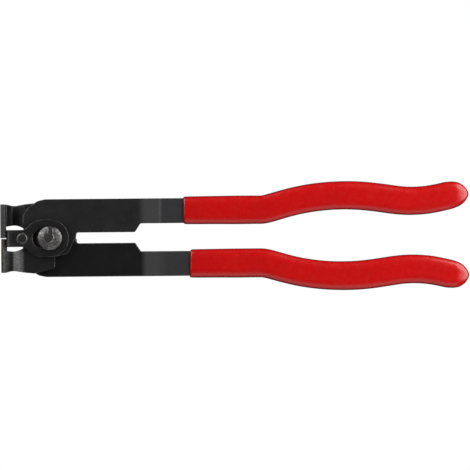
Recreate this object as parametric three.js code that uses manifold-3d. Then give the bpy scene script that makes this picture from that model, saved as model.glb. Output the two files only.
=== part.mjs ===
// Ear clamp pliers: two stamped lever plates cross at a rivet, and a centre blade slides between their jaws.
// Millimetres. The origin is on the pivot axis, at the flat rear face of the rivet.
// +X runs from the jaws to the grips, +Y to the front lever's handle, and +Z towards the rivet's domed head.

import * as THREE from 'three';
import { mergeVertices } from 'three/addons/utils/BufferGeometryUtils.js';
import Module from 'manifold-3d';

const wasm = await Module();
wasm.setup();

// Layers of the head, counted outwards from the middle plane
const plateThickness = 2.5;
const plateGap = 0.3;
const legThickness = 2;
const legGap = 0.15;
const plateBack = plateGap / 2;
const plateFront = plateBack + plateThickness;
const legBack = plateFront + legGap;
const legFront = legBack + legThickness;
const jawHalfWidth = legFront;

// Pivot: a shoulder rivet with a domed head in front and a peened tail in a washer behind
const shankRadius = 5;
const pivotGap = 0.15;
const headOverhang = 1.3;
const headRadius = shankRadius + headOverhang;
const headGap = 0.15;
const headRimHeight = 0.9;
const headCrownHeight = 1.4;
const headShoulderShare = 0.55;
const dimpleShare = 0.4;
const dimpleFloorShare = 0.8;
const dimpleDepth = 0.5;
const notchWidth = 1.5;
const notchFloorShare = 0.3;
const tailStep = 1;
const tailRadius = shankRadius - tailStep;
const tailFlare = 0.6;
const tailFlareShare = 0.5;
const washerThickness = 1.2;
const washerOverhang = 1.7;
const washerRadius = shankRadius + washerOverhang;
const shoulderGap = 0.1;
const middleHeight = washerThickness + headGap + legFront;

// How far each lever swings out, and how far that draws the blade back
const leverSwing = THREE.MathUtils.degToRad(14.5);
const bladeTravel = 3.7;
const camLead = bladeTravel / leverSwing;

// Centre blade: a strap folded at the nose, with a ring round the pivot and a narrow tab
const bladeSlotGap = 0.2;
const bladeSlotRadius = shankRadius + bladeSlotGap;
const bladeSlotLength = bladeTravel + bladeSlotGap;
const ringWall = 4.55;
const ringRadius = bladeSlotRadius + ringWall;
const ringMeetAngle = THREE.MathUtils.degToRad(45);
const tabWidth = 8.9;
const tabHalf = tabWidth / 2;
const tabFillet = 4;
const noseBend = 2.2;
const noseInnerBend = noseBend - legThickness;
const pinRadius = 2.7;
const pinDistance = 14.5;
const pinGap = 0.15;
const mouthLeadShare = 0.16;
const pinStandOut = 0.25;
const pinChamfer = 0.35;

// Lobe: the rounded end of the handle strap, at the mouth of the cam slot
const lobeSetback = 0.2;
const lobeReach = pinDistance - lobeSetback;
const lobeRadius = 8.6;
const lobeStart = 3.4;
const lobeSlope = THREE.MathUtils.degToRad(20);
const lobeFoot = 6.7;
const lobeFootRunShare = 0.2;
const lobeFootDropShare = 0.46;

// Jaws: each arm steps outwards and is bent square at the tip into a wall as wide as the blade
const tipBeyondPin = 11.15;
const tipReach = pinDistance + tipBeyondPin;
const tipGap = 0.5;
const tipChamfer = 0.35;
const jawBend = 3;
const jawOuter = 17.9;
const jawCorner = 0.5;
const noseGap = 0.25;
const noseReach = tipReach - plateThickness - noseGap;
const jawStepSetback = 0.3;
const jawStepStart = lobeReach + jawStepSetback;
const jawStepLength = 4;
const neckDepth = 1.2;
const neckSetback = 6.65;
const neckRadius = 12;
const jawFlatLength = 2;
const jawHeel = 8.5;
const jawHeelDrop = 0.7;
const jawHeelRadius = 2;
const jawBackReach = 2.25;
const jawBackRise = 2.35;
const jawBackCorner = 1;

// Window between each jaw arm and the blade's tab
const windowMouthGap = 0.75;
const windowCrownGap = 2.85;
const windowEndGap = 1.15;
const windowSetback = 0.1;
const windowMouth = lobeReach + windowSetback;
const windowCrownRun = 4.5;
const windowRadius = 9;
const mouthDepthShare = 0.25;

// Boss: the waist of the plate, between the slot of the handles and the back of the jaw
const bossReach = 13.9;
const bossCorner = 1.2;
const bossHeelReach = 9;
const bossHeelDrop = 8.4;
const bossHeelRadius = 3;
const bossUnderDrop = 9.6;

// Handle strap: wide beside the slot, then stepped in and joggled to the middle plane
const strapOuter = 20.35;
const slotHalf = 2.85;
const stepStart = 44.2;
const stepLength = 2.9;
const stepRound = 1;
const handleWidth = 13;
const handleHalf = handleWidth / 2;
const handleY = strapOuter - handleHalf;
const joggleStart = 46.5;
const joggleLength = 12;

// Wave of the handle's centre line: runs along X, and heights above its straight part
const waveStart = 106.4;
const waveCrestRun = 47.8;
const waveCrest = waveStart + waveCrestRun;
const waveCrestRise = 7.15;
const waveTroughRun = 34.8;
const waveTrough = waveCrest + waveTroughRun;
const waveTroughRise = 3.95;
const waveEndRun = 22.6;
const waveEnd = waveTrough + waveEndRun;
const waveEndRise = 6.9;
const crestPullShares = [0.27, 0.59];
const troughPullShares = [0.46, 0.31];
const endPullShares = [0.57, 0.24];
const handleCapReach = 2.6;

// Grips: dipped sleeves round the handles
const coatEdge = 1;
const coatFace = 1.3;
const coatFit = 0.2;
const gripRound = 2.2;
const noseRun = 4;
const noseLift = 0.35;
const upperGripStart = 69.8;
const lowerGripStart = 73.2;
const gripHalf = handleHalf + coatEdge;
const gripThickness = plateThickness + coatFace + coatFace;
const gripTip = waveEnd + gripHalf;

// Facets
const roundSteps = 36;
const ringSteps = 14;
const bendSteps = 8;
const waveSteps = 9;
const capSteps = 12;
const gripRoundSteps = 4;
const overrun = 5;

const blackOxide = { color: 0x272727, roughness: 0.45, metalness: 0.7 };
const blackOxideDark = { color: 0x1f1f1f, roughness: 0.45, metalness: 0.7 };
const wornSteel = { color: 0x5a5a58, roughness: 0.4, metalness: 0.85 };
const redVinyl = { color: 0xc31717, roughness: 0.3, metalness: 0 };

// A closed geometry as a solid that can be joined and cut
function solidOf(geometry) {
  const bare = geometry.clone();
  bare.deleteAttribute('normal');
  bare.deleteAttribute('uv');
  const merged = mergeVertices(bare);
  return new wasm.Manifold(new wasm.Mesh({
    numProp: 3,
    vertProperties: new Float32Array(merged.attributes.position.array),
    triVerts: new Uint32Array(merged.index.array),
  }));
}

// A solid back as a geometry
function geometryOf(solid) {
  const mesh = solid.getMesh();
  const geometry = new THREE.BufferGeometry();
  geometry.setAttribute('position', new THREE.BufferAttribute(new Float32Array(mesh.vertProperties), 3));
  geometry.setIndex(new THREE.BufferAttribute(new Uint32Array(mesh.triVerts), 1));
  geometry.computeVertexNormals();
  return geometry;
}

// A plan outline made into a block between two heights
function block(shape, low, high, curveSegments = bendSteps) {
  const depth = high - low;
  const geometry = new THREE.ExtrudeGeometry(shape, { depth, bevelEnabled: false, curveSegments });
  geometry.translate(0, 0, low);
  return solidOf(geometry);
}

// A side outline, drawn in X and Z, made into a slab across Y
function slab(shape, halfWidth) {
  const depth = halfWidth + halfWidth;
  const geometry = new THREE.ExtrudeGeometry(shape, { depth, bevelEnabled: false, curveSegments: bendSteps });
  geometry.rotateX(Math.PI / 2);
  geometry.translate(0, halfWidth, 0);
  return solidOf(geometry);
}

function circle(radius, x = 0) {
  const shape = new THREE.Shape();
  shape.absarc(x, 0, radius, 0, Math.PI * 2);
  return shape;
}

// A closed outline through corners, each given as x, y and its fillet radius.
// Two fillets that would meet on a side share its length.
function filletedShape(corners) {
  const points = corners.map(([x, y]) => new THREE.Vector2(x, y));
  const sides = points.map((point, index) => points[(index + 1) % points.length].clone().sub(point));
  const halfAngles = sides.map((side, index) => {
    const turn = side.clone().normalize().dot(sides.at(index - 1).clone().normalize());
    return (Math.PI - Math.acos(THREE.MathUtils.clamp(turn, -1, 1))) / 2;
  });
  const wanted = corners.map(([, , radius = 0], index) => radius / Math.tan(halfAngles[index]));
  const wantedNext = [...wanted.slice(1), wanted[0]];
  const room = sides.map((side, index) => side.length() / (wanted[index] + wantedNext[index]));
  const shape = new THREE.Shape();
  points.forEach((corner, index) => {
    const tangent = wanted[index] * Math.min(1, room[index], room.at(index - 1));
    const begin = index === 0 ? 'moveTo' : 'lineTo';
    if (!(tangent > 0)) {
      shape[begin](corner.x, corner.y);
      return;
    }
    const radius = tangent * Math.tan(halfAngles[index]);
    const before = sides.at(index - 1).clone().normalize().negate();
    const after = sides[index].clone().normalize();
    const toCentre = before.clone().add(after).setLength(radius / Math.sin(halfAngles[index]));
    const centre = corner.clone().add(toCentre);
    const first = corner.clone().addScaledVector(before, tangent);
    const last = corner.clone().addScaledVector(after, tangent);
    const startAngle = first.clone().sub(centre).angle();
    const endAngle = last.clone().sub(centre).angle();
    shape[begin](first.x, first.y);
    shape.absarc(centre.x, centre.y, radius, startAngle, endAngle, before.cross(after) > 0);
  });
  return shape;
}

// Stations along the handle's centre line from a start: where they are and which way is outwards
function handleStations(start) {
  const crestY = handleY + waveCrestRise;
  const troughY = handleY + waveTroughRise;
  const endY = handleY + waveEndRise;
  const pieces = [
    [waveStart, handleY, waveCrest, crestY, crestPullShares],
    [waveCrest, crestY, waveTrough, troughY, troughPullShares],
    [waveTrough, troughY, waveEnd, endY, endPullShares],
  ];
  const stations = [{ point: new THREE.Vector2(start, handleY), outwards: new THREE.Vector2(0, 1) }];
  for (const [fromX, fromY, toX, toY, [leave, arrive]] of pieces) {
    const run = toX - fromX;
    const curve = new THREE.CubicBezierCurve(
      new THREE.Vector2(fromX, fromY),
      new THREE.Vector2(fromX + run * leave, fromY),
      new THREE.Vector2(toX - run * arrive, toY),
      new THREE.Vector2(toX, toY),
    );
    for (let step = stations.length > 1 ? 1 : 0; step <= waveSteps; step += 1) {
      const along = curve.getTangent(step / waveSteps);
      const outwards = new THREE.Vector2(-along.y, along.x);
      stations.push({ point: curve.getPoint(step / waveSteps), outwards });
    }
  }
  return stations;
}

// Points beside the stations of a centre line, at a half width that may change along it
function sidePoints(stations, halfAt, side) {
  const besides = ({ point, outwards }) => point.clone().addScaledVector(outwards, side * halfAt(point.x));
  return stations.map(besides);
}

// Points round a handle: out along its inner side, round its blunt end and back along its outer side
function handlePoints(start, half, capReach) {
  const stations = handleStations(start);
  const end = stations.at(-1).point;
  const cap = [];
  for (let step = 1; step < capSteps; step += 1) {
    const angle = Math.PI * (step / capSteps - 1 / 2);
    cap.push(new THREE.Vector2(end.x + capReach * Math.cos(angle), end.y + half * Math.sin(angle)));
  }
  return [...sidePoints(stations, () => half, -1), ...cap, ...sidePoints(stations, () => half, 1).reverse()];
}

// Points round a grip: beside the handle, then drawn in to the nose where the last of the dip ran off
function gripPoints(start) {
  const stations = handleStations(start);
  const end = stations.at(-1).point;
  const halfAt = (x) => gripHalf * Math.tanh((gripTip - x) / noseRun);
  for (let step = 1; step < capSteps; step += 1) {
    const x = end.x + (gripTip - end.x) * (step / capSteps);
    const y = end.y + noseLift * (step / capSteps);
    stations.push({ point: new THREE.Vector2(x, y), outwards: new THREE.Vector2(0, 1) });
  }
  const nose = new THREE.Vector2(gripTip, end.y + noseLift);
  return [...sidePoints(stations, halfAt, -1), nose, ...sidePoints(stations, halfAt, 1).reverse()];
}

// The front lever in plan: handle above the pivot axis, jaw below it
function leverPlan() {
  const outerDrop = (lobeReach - lobeStart) * Math.tan(lobeSlope);
  const mouthY = tabHalf + windowMouthGap;
  const handle = handlePoints(stepStart + stepLength, handleHalf, handleCapReach).slice(1, -1);
  return filletedShape([
    [-lobeStart, strapOuter, lobeStart],
    [-lobeReach, strapOuter - outerDrop, lobeRadius],
    [-lobeReach, lobeFoot, lobeRadius],
    [-lobeReach * (1 - lobeFootRunShare), lobeFoot * (1 - lobeFootDropShare)],
    [-windowMouth, -mouthY * (1 - mouthDepthShare)],
    [-windowMouth, -mouthY],
    [-windowMouth - windowCrownRun, -tabHalf - windowCrownGap, windowRadius],
    [plateThickness - tipReach, -tabHalf - windowEndGap],
    [plateThickness - tipReach, -tipGap / 2],
    [tipChamfer - tipReach, -tipGap / 2],
    [-tipReach, -tipGap / 2 - tipChamfer],
    [-tipReach, -jawOuter, jawCorner],
    [jawFlatLength - tipReach, -jawOuter],
    [neckSetback - tipReach, neckDepth - jawOuter, neckRadius],
    [-jawHeel, -jawOuter - jawHeelDrop, jawHeelRadius],
    [jawBackReach, jawBackRise - jawOuter, jawBackCorner],
    [jawBackReach, -bossUnderDrop],
    [bossHeelReach, -bossHeelDrop, bossHeelRadius],
    [bossReach, slotHalf, bossCorner],
    [stepStart, slotHalf, stepRound],
    [stepStart + stepLength, handleY - handleHalf, stepRound],
    ...handle.map((point) => [point.x, point.y]),
  ]);
}

// An S-shaped step in a side outline
function sideStep(shape, fromX, fromZ, toX, toZ) {
  const middle = (fromX + toX) / 2;
  shape.lineTo(fromX, fromZ);
  shape.bezierCurveTo(middle, fromZ, middle, toZ, toX, toZ);
}

// The front lever from the side: tip wall, outward step, flat plate, joggle and handle
function leverSide() {
  const handleFront = plateThickness / 2;
  const reach = gripTip;
  const stepInner = -jawStepStart;
  const stepOuter = -jawStepStart - jawStepLength;
  const shape = new THREE.Shape();
  shape.moveTo(-tipReach, -jawHalfWidth);
  shape.lineTo(-tipReach, jawHalfWidth - jawBend);
  shape.absarc(jawBend - tipReach, jawHalfWidth - jawBend, jawBend, Math.PI, Math.PI / 2, true);
  sideStep(shape, stepOuter, jawHalfWidth, stepInner, plateFront);
  sideStep(shape, joggleStart, plateFront, joggleStart + joggleLength, handleFront);
  shape.lineTo(reach, handleFront);
  shape.lineTo(reach, -handleFront);
  sideStep(shape, joggleStart + joggleLength, -handleFront, joggleStart, plateBack);
  sideStep(shape, stepInner, plateBack, stepOuter, jawHalfWidth - plateThickness);
  const innerBend = jawBend - plateThickness;
  shape.absarc(jawBend - tipReach, jawHalfWidth - jawBend, innerBend, Math.PI / 2, Math.PI);
  shape.lineTo(plateThickness - tipReach, -jawHalfWidth);
  return shape;
}

// The slot in the front lever that the blade's pin follows as the lever swings
function camSlot() {
  const half = pinRadius + pinGap;
  const lead = leverSwing * mouthLeadShare;
  const steps = roundSteps / 2;
  const path = [];
  for (let step = 0; step <= steps; step += 1) {
    const swing = -lead + (leverSwing + lead) * (step / steps);
    const radius = pinDistance - camLead * swing;
    path.push(new THREE.Vector2(-radius * Math.cos(swing), radius * Math.sin(swing)));
  }
  path.unshift(new THREE.Vector2(path[0].x - half, path[0].y));
  const last = path.length - 1;
  const sides = path.map((point, index) => {
    const along = path[Math.min(index + 1, last)].clone().sub(path[Math.max(index - 1, 0)]).normalize();
    return { point, across: new THREE.Vector2(-along.y, along.x) };
  });
  const lower = sides.map(({ point, across }) => point.clone().addScaledVector(across, -half));
  const upper = sides.map(({ point, across }) => point.clone().addScaledVector(across, half)).reverse();
  const end = sides.at(-1);
  const cap = [];
  for (let step = 1; step < capSteps; step += 1) {
    const angle = end.across.angle() - Math.PI + Math.PI * (step / capSteps);
    cap.push(new THREE.Vector2(end.point.x + half * Math.cos(angle), end.point.y + half * Math.sin(angle)));
  }
  return new THREE.Shape([...lower, ...cap, ...upper]);
}

// The tip wall's inner part, between the jaw arm and the gap, is cut off square where the bend ends
function tongueCut(tall) {
  const edge = tabHalf + windowEndGap;
  const shape = new THREE.Shape();
  shape.moveTo(-tipReach - overrun, -edge);
  shape.lineTo(jawBend - tipReach, -edge);
  shape.lineTo(jawBend - tipReach, edge);
  shape.lineTo(-tipReach - overrun, edge);
  return block(shape, jawHalfWidth - jawBend, tall);
}

function leverGeometry() {
  const tall = jawHalfWidth + overrun;
  return geometryOf(block(leverPlan(), -tall, tall)
    .intersect(slab(leverSide(), jawOuter + strapOuter + overrun))
    .subtract(block(circle(shankRadius + pivotGap), -tall, tall, roundSteps))
    .subtract(block(camSlot(), -tall, tall))
    .subtract(tongueCut(tall)));
}

// The blade in plan: tab, tangent flanks and a ring drawn out by the length of its slot
function bladePlan() {
  const tangentX = -bladeSlotLength - ringRadius * Math.cos(ringMeetAngle);
  const tangentY = ringRadius * Math.sin(ringMeetAngle);
  const cornerX = tangentX - (tangentY - tabHalf) * Math.tan(ringMeetAngle);
  const filletRun = tabFillet * Math.tan(ringMeetAngle / 2);
  const filletX = cornerX - filletRun;
  const square = Math.PI / 2;
  const shape = new THREE.Shape();
  shape.moveTo(-noseReach, -tabHalf);
  shape.lineTo(filletX, -tabHalf);
  shape.absarc(filletX, -tabHalf - tabFillet, tabFillet, square, square - ringMeetAngle, true);
  shape.absarc(-bladeSlotLength, 0, ringRadius, Math.PI + ringMeetAngle, Math.PI * 1.5);
  shape.absarc(0, 0, ringRadius, -Math.PI / 2, Math.PI / 2);
  shape.absarc(-bladeSlotLength, 0, ringRadius, Math.PI / 2, Math.PI - ringMeetAngle);
  shape.absarc(filletX, tabHalf + tabFillet, tabFillet, ringMeetAngle - square, -square, true);
  shape.lineTo(-noseReach, tabHalf);
  return shape;
}

// The blade from the side: two legs joined by the folded nose
function bladeSide() {
  const reach = ringRadius + overrun;
  const shape = new THREE.Shape();
  shape.moveTo(reach, -legFront);
  shape.lineTo(reach, -legBack);
  shape.absarc(noseBend - noseReach, noseBend - legFront, noseInnerBend, -Math.PI / 2, -Math.PI, true);
  shape.absarc(noseBend - noseReach, legFront - noseBend, noseInnerBend, Math.PI, Math.PI / 2, true);
  shape.lineTo(reach, legBack);
  shape.lineTo(reach, legFront);
  shape.absarc(noseBend - noseReach, legFront - noseBend, noseBend, Math.PI / 2, Math.PI);
  shape.absarc(noseBend - noseReach, noseBend - legFront, noseBend, Math.PI, Math.PI * 1.5);
  return shape;
}

function bladeSlot() {
  const shape = new THREE.Shape();
  shape.absarc(0, 0, bladeSlotRadius, -Math.PI / 2, Math.PI / 2);
  shape.absarc(-bladeSlotLength, 0, bladeSlotRadius, Math.PI / 2, Math.PI * 1.5);
  return shape;
}

function bladeGeometry() {
  const tall = legFront + overrun;
  return geometryOf(block(bladePlan(), -tall, tall, ringSteps)
    .intersect(slab(bladeSide(), ringRadius + overrun))
    .subtract(block(bladeSlot(), -tall, tall, ringSteps))
    .subtract(block(circle(pinRadius + pinGap, -pinDistance), -tall, tall, roundSteps)));
}

// A turned piece from radius and height pairs, with its axis along Z
function turned(profile) {
  const points = profile.map(([radius, height]) => new THREE.Vector2(radius, height));
  return new THREE.LatheGeometry(points, roundSteps).rotateX(Math.PI / 2);
}

function pinGeometry() {
  const half = legFront + pinStandOut;
  return turned([
    [0, -half],
    [pinRadius - pinChamfer, -half],
    [pinRadius, pinChamfer - half],
    [pinRadius, half - pinChamfer],
    [pinRadius - pinChamfer, half],
    [0, half],
  ]);
}

// Points of the rivet's crown, from the rim up to the edge of the dimple
function crownPoints(rimZ) {
  const points = [];
  for (let step = 0; step <= bendSteps; step += 1) {
    const radius = headRadius * (1 - (1 - dimpleShare) * (step / bendSteps));
    const rise = headCrownHeight * (1 - (radius / headRadius) ** 2) ** headShoulderShare;
    points.push([radius, rimZ + rise]);
  }
  return points;
}

function rivetGeometry() {
  const headZ = middleHeight + legFront + headGap;
  const rimZ = headZ + headRimHeight;
  const crown = crownPoints(rimZ);
  const [dimpleRadius, dimpleZ] = crown.at(-1);
  const flareZ = washerThickness * tailFlareShare;
  const body = solidOf(turned([
    [0, 0],
    [tailRadius + tailFlare, 0],
    [tailRadius, flareZ],
    [tailRadius, washerThickness + shoulderGap],
    [shankRadius, washerThickness + shoulderGap],
    [shankRadius, headZ],
    [headRadius, headZ],
    ...crown,
    [dimpleRadius * dimpleFloorShare, dimpleZ - dimpleDepth],
    [0, dimpleZ - dimpleDepth],
  ]));
  const notchDepth = headCrownHeight + overrun;
  const notch = new THREE.BoxGeometry(notchWidth, headRadius, notchDepth);
  const notchFloorZ = rimZ + headCrownHeight * notchFloorShare;
  notch.translate(0, (headRadius + dimpleRadius) / 2, notchFloorZ + notchDepth / 2);
  return geometryOf(body.subtract(solidOf(notch)));
}

function washerGeometry() {
  const hole = tailRadius + pivotGap;
  const flareZ = washerThickness * tailFlareShare;
  return turned([
    [hole + tailFlare, 0],
    [washerRadius, 0],
    [washerRadius, washerThickness],
    [hole, washerThickness],
    [hole, flareZ],
    [hole + tailFlare, 0],
  ]);
}

// A grip: the handle's outline grown by the coat, with rounded edges, hollowed for the handle inside
function gripGeometry(start) {
  const outside = new THREE.ExtrudeGeometry(new THREE.Shape(gripPoints(start)), {
    depth: gripThickness - gripRound - gripRound,
    bevelSize: gripRound,
    bevelThickness: gripRound,
    bevelOffset: -gripRound,
    bevelSegments: gripRoundSteps,
  });
  outside.translate(0, 0, gripRound - gripThickness / 2);
  const hollowHalf = plateThickness / 2 + coatFit;
  const hollowPoints = handlePoints(start - overrun, handleHalf + coatFit, handleCapReach + coatFit);
  const hollow = new THREE.Shape(hollowPoints);
  return geometryOf(solidOf(outside).subtract(block(hollow, -hollowHalf, hollowHalf)));
}

function piece(name, geometry, finish) {
  const mesh = new THREE.Mesh(geometry, new THREE.MeshStandardMaterial(finish));
  mesh.name = name;
  return mesh;
}

const pliers = new THREE.Group();

const frontSide = new THREE.Group();
frontSide.position.z = middleHeight;
frontSide.add(piece('front_lever', leverGeometry(), blackOxide));
frontSide.add(piece('upper_grip', gripGeometry(upperGripStart), redVinyl));

const rearSide = new THREE.Group();
rearSide.position.z = middleHeight;
rearSide.rotation.x = Math.PI;
rearSide.add(piece('rear_lever', leverGeometry(), blackOxideDark));
rearSide.add(piece('lower_grip', gripGeometry(lowerGripStart), redVinyl));

const centre = new THREE.Group();
centre.position.z = middleHeight;
centre.add(piece('centre_blade', bladeGeometry(), blackOxide));
const pin = piece('blade_pin', pinGeometry(), blackOxide);
pin.position.x = -pinDistance;
centre.add(pin);

pliers.add(frontSide, rearSide, centre);
pliers.add(piece('pivot_rivet', rivetGeometry(), wornSteel));
pliers.add(piece('pivot_washer', washerGeometry(), wornSteel));

export default pliers;
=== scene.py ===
import math

import bmesh
import bpy
import numpy as np
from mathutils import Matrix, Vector, noise
from mathutils.geometry import delaunay_2d_cdt


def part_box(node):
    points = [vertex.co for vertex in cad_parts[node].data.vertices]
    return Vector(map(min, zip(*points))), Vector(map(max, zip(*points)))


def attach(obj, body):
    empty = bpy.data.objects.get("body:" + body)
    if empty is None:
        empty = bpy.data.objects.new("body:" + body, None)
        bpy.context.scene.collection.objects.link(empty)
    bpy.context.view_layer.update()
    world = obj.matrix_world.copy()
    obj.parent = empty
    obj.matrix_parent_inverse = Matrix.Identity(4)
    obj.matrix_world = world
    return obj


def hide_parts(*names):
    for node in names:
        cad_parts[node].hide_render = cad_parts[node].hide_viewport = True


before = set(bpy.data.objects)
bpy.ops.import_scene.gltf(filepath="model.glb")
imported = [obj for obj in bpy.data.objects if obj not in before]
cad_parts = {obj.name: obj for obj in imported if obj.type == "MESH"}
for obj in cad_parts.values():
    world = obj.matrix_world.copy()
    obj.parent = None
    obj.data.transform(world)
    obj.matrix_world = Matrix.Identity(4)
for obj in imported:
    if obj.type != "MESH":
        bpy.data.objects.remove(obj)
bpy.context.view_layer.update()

MM = 0.001


def box_mm(node):
    """Lowest and highest corner of a CAD node, in millimetres."""
    return [np.array(corner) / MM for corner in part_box(node)]


# What the dressed pieces add to the CAD solids or take off them, in millimetres
TIP_EXTRA = 0.2
NOSE_EXTRA = 0.18
HEAD_TRIM = 0.13
GRIP_TIP_TRIM = 0.15
UPPER_LIP_EXTRA = 0.1
LOWER_LIP_EXTRA = 0.3

# Sizes read from the frame, in millimetres, as are all that follow down to the camera's
LEVER_LOW = box_mm("front_lever")[0]
BLADE_LOW, BLADE_HIGH = box_mm("centre_blade")
PIN_LOW, PIN_HIGH = box_mm("blade_pin")
RIVET_LOW, RIVET_HIGH = box_mm("pivot_rivet")
WASHER_LOW, WASHER_HIGH = box_mm("pivot_washer")
UPPER_GRIP_LOW, UPPER_GRIP_HIGH = box_mm("upper_grip")
LOWER_GRIP_LOW = box_mm("lower_grip")[0]
MIDDLE = (BLADE_LOW[2] + BLADE_HIGH[2]) / 2
TIP_REACH = TIP_EXTRA - LEVER_LOW[0]
NOSE_REACH = NOSE_EXTRA - BLADE_LOW[0]
RING_RADIUS = BLADE_HIGH[1]
LEG_FRONT = BLADE_HIGH[2] - MIDDLE
PIN_RADIUS = PIN_HIGH[1]
PIN_DISTANCE = -(PIN_LOW[0] + PIN_HIGH[0]) / 2
HEAD_RADIUS = RIVET_HIGH[1] - HEAD_TRIM
WASHER_RADIUS = WASHER_HIGH[1]
GRIP_TIP = UPPER_GRIP_HIGH[0] - GRIP_TIP_TRIM
GRIP_HALF_THICKNESS = (UPPER_GRIP_HIGH[2] - UPPER_GRIP_LOW[2]) / 2

# Sheet thicknesses and the layers they make, outwards from the middle plane
PLATE = 2.5
PLATE_MIDDLE = 1.4
LEG = 2.0
JAW_HALF_WIDTH = LEG_FRONT

# Lever plan, as the steel is stamped; each corner is x, y and the radius of its fillet
STRAP_OUTER = 20.35
LOBE_REACH = 14.3
LOBE_FOOT = 6.7
LOBE_FOOT_SHARES = (0.8, 0.54)
LOBE_CORNERS = [
    (-2.5, STRAP_OUTER, 5),
    (-6.6, 19.5, 6),
    (-12.2, 15.5, 8),
    (-LOBE_REACH, 11.4, 5),
    (-LOBE_REACH, LOBE_FOOT, 4),
]
MOUTH = 14.4
MOUTH_DEPTH = 5.2
MOUTH_LIP = 3.9
WINDOW_CROWN = 17.8
WINDOW_DEPTH = 7.15
WINDOW_RADIUS = 9.0
WINDOW_END_DEPTH = 5.9
RELIEF_RADIUS = 0.5
HALF_TIP_GAP = 0.2
TIP_CORNER = 0.6
JAW_OUTER = 17.9
JAW_FLAT_END = 23.3
NECK_PLACE = 19.6
NECK_DEPTH = 1.05
NECK_RADIUS = 9.0
JAW_SHOULDER = (13.2, 0.05, 8.0)
JAW_HEEL = 8.5
JAW_HEEL_DROP = 0.5
JAW_HEEL_RADIUS = 2.0
JAW_BACK_REACH = 2.25
JAW_BACK_RISE = 2.35
JAW_BACK_CORNER = 1.0
BOSS_REACH = 13.5
BOSS_CORNER = 1.1
BOSS_FLAT_END = 0.9
BOSS_HEEL_REACH = 9.0
BOSS_HEEL_DROP = 8.4
BOSS_HEEL_RADIUS = 3.0
BOSS_UNDER_DROP = 9.6
SLOT_HALF = 2.8
STEP_START = 44.2
STEP_LENGTH = 2.9
STEP_ROUND = 1.0
HANDLE_HALF = 6.52
HANDLE_Y = STRAP_OUTER - HANDLE_HALF
HANDLE_CAP = 2.6

# Wave of the handle's centre line: places, heights and how far each curve's ends pull
WAVE_X = [110.0, 153.3, 188.9, 212.5]
WAVE_RISE = [0.0, 7.1, 3.9, 7.0]
WAVE_PULLS = [(0.14, 0.58), (0.49, 0.3), (0.53, 0.23)]

# Bends of the lever: the square one at the tip, the step of the jaw arm and the joggle of the handle
TIP_BEND = 3.0
BEND_RADIUS = TIP_BEND - PLATE / 2
BEND_X = TIP_BEND - TIP_REACH
BEND_RUN = BEND_RADIUS * math.pi / 2
WALL_RUN = 2 * JAW_HALF_WIDTH - TIP_BEND
TIP_WALL = BEND_X - BEND_RUN
TIP_END = TIP_WALL - WALL_RUN
JAW_STEP = (-19.6, -14.3)
JAW_STEP_ROUNDS = (1.0, 2.0)
JAW_BOW = 0.2
JAW_BOW_RUN = 2.3
JOGGLE = (45.9, 58.0)
JOGGLE_ROUNDS = (2.6, 0.7)

# Cam slot of the lever, which the blade's pin follows; it runs on past rest by a share of the swing
CAM_SWING = math.radians(14.5)
CAM_TRAVEL = 3.7
CAM_LEAD_SHARE = 0.16
CAM_HALF = PIN_RADIUS + 0.15

# Pivot hole, blade slot, and the blade's tab and fold
PIVOT_HOLE_RADIUS = 5.15
PIN_HOLE_RADIUS = PIN_RADIUS + 0.1
BLADE_SLOT_RADIUS = 5.2
BLADE_SLOT_RUN = 3.9
TAB_HALF = 4.45
TAB_FILLET = 4.0
RING_MEET = math.radians(45)
NOSE_BEND = 2.2
FOLD_RADIUS = NOSE_BEND - LEG / 2
FOLD_X = NOSE_BEND - NOSE_REACH
FOLD_RUN = FOLD_RADIUS * math.pi / 2
WEB_RUN = 2 * (LEG_FRONT - NOSE_BEND)

# Edge rounds: the die rolls one face over, and tumbling takes the burr off the other.
# The roll is higher than it is wide by its share, and a straight cut rolls over less.
DEBURRED = 0.3
DIE_ROLL = 0.55
DIE_ROLL_SHARE = 1.8
SQUARE_ROLL = 0.3

# Rubbed edges: how far the wear reaches over a face, and how strong it is where it starts
WEAR_REACH = 1.0
FACE_WEAR = 0.6

# Patches drawn lighter on the levers and the blade, partly rubbed oxide and partly painted highlight where
# the jaw's bends and slopes, the joggle's end and the blade's fold catch the light: side, start, end, how
# soon it fades and how much
LEVER_RUBS = [
    (1, -40, -21.5, 1.2, 0.8),
    (1, -19.8, -13.4, 1.2, 0.8),
    (1, 56.7, 58.1, 0.3, 0.5),
    (-1, -30.5, -23.5, 0.5, 0.75),
    (-1, -21.2, -19.8, 0.3, 0.9),
    (-1, -15.4, -11.4, 1.2, 0.25),
]
BLADE_RUBS = [(1, FOLD_X - 1.6, FOLD_X + 0.3, 0.5, 0.4)]

# Rivet
SHANK_RADIUS = 5.0
HEAD_LIFT = 0.15
RIM_HEIGHT = 0.9
CROWN_HEIGHT = 1.4
CROWN_SHAPE = 0.9
DIMPLE_PLACE = (-0.75, 0.1)
DIMPLE_RADIUS = 2.15
DIMPLE_DEPTH = 0.5
DIMPLE_SLOPES = (0.25, 0.35)
DIMPLE_SOIL = 0.8
DIMPLE_LEAN = 0.15
NOTCH_SIDES = (-0.35, 1.2)
NOTCH_FADES = (0.2, 0.3)
NOTCH_END_FADE = 0.4
NOTCH_DEPTH = 0.65
CHIP_RADIUS = 5.35
CHIP_END = 2.8
CHIP_FADE = 0.4
CHIP_SOIL = 0.9

# Metal thrown up and pressed down by the blows: how high or deep it is, and its middle
# and width beyond the dimple's edge and to the right of the notch
BURR = 0.12
DIMPLE_BURR = (0.55, 0.25)
NOTCH_BURR = (0.3, 0.2)
NOTCH_BURR_SHARE = 0.6
GROOVE = 0.06
DIMPLE_GROOVE = (1.2, 0.28)
NOTCH_GROOVE = (0.85, 0.25)
GROOVE_SOIL = 0.35

# Peening marks of the head: depth, seed and size
PEEN_MARKS = [(0.05, 0, 1.7), (0.03, 5, 0.8)]
PEEN_FADE = 0.6

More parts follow.
